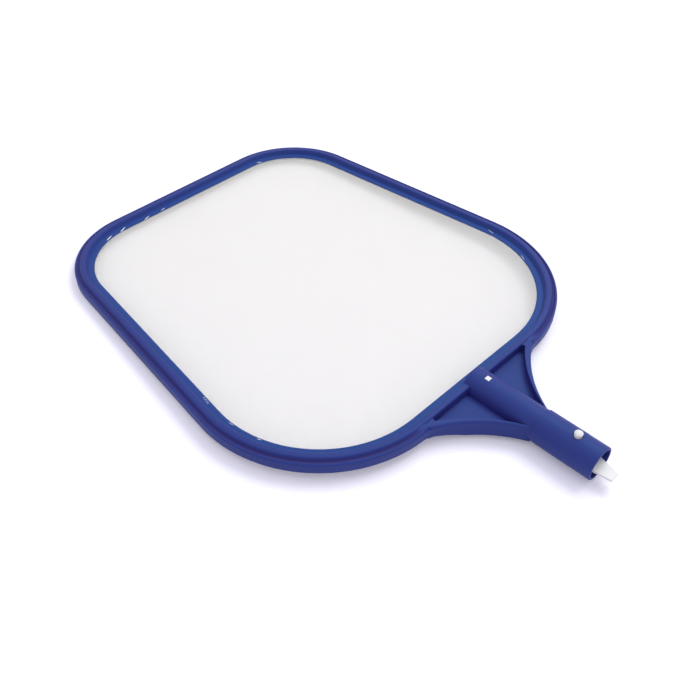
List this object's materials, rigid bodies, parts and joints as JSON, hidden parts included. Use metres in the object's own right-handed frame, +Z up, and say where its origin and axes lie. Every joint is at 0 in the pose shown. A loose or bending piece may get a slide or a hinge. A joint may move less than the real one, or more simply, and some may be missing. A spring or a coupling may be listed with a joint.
{
  "type": "leaf skimmer net",
  "caption": "Flat leaf skimmer head: a moulded rim holds a fine net, and a spigot with a sprung button locks into a telescopic pool pole.",
  "frame": {"origin": "centre of the pole spigot's mouth, on the spigot's axis", "axes": "X runs along the handle and points out of the spigot's mouth, Y across the net, Z up from the side of the net that carries the button"},
  "size_m": [0.5149, 0.3654, 0.0323],
  "materials": {
    "blue_plastic": "satin moulded polypropylene, dark blue",
    "net_mesh": "fine white polyester mesh",
    "clip_plastic": "white moulded acetal"
  },
  "bodies": {
    "frame": {"rim": "blue_plastic", "yoke": "blue_plastic", "pole_spigot": "blue_plastic", "net": "net_mesh"},
    "clip": {"latch_clip": "clip_plastic"}
  },
  "joints": [
    {"name": "button_press", "type": "hinge", "parent": "frame", "child": "clip", "pos_m": [-0.104, 0, 0.0086], "axis": [0, 1, 0], "range_deg": [0, 2.6], "stiffness_Nm_per_rad": 8, "springref_deg": -3.44}
  ]
}
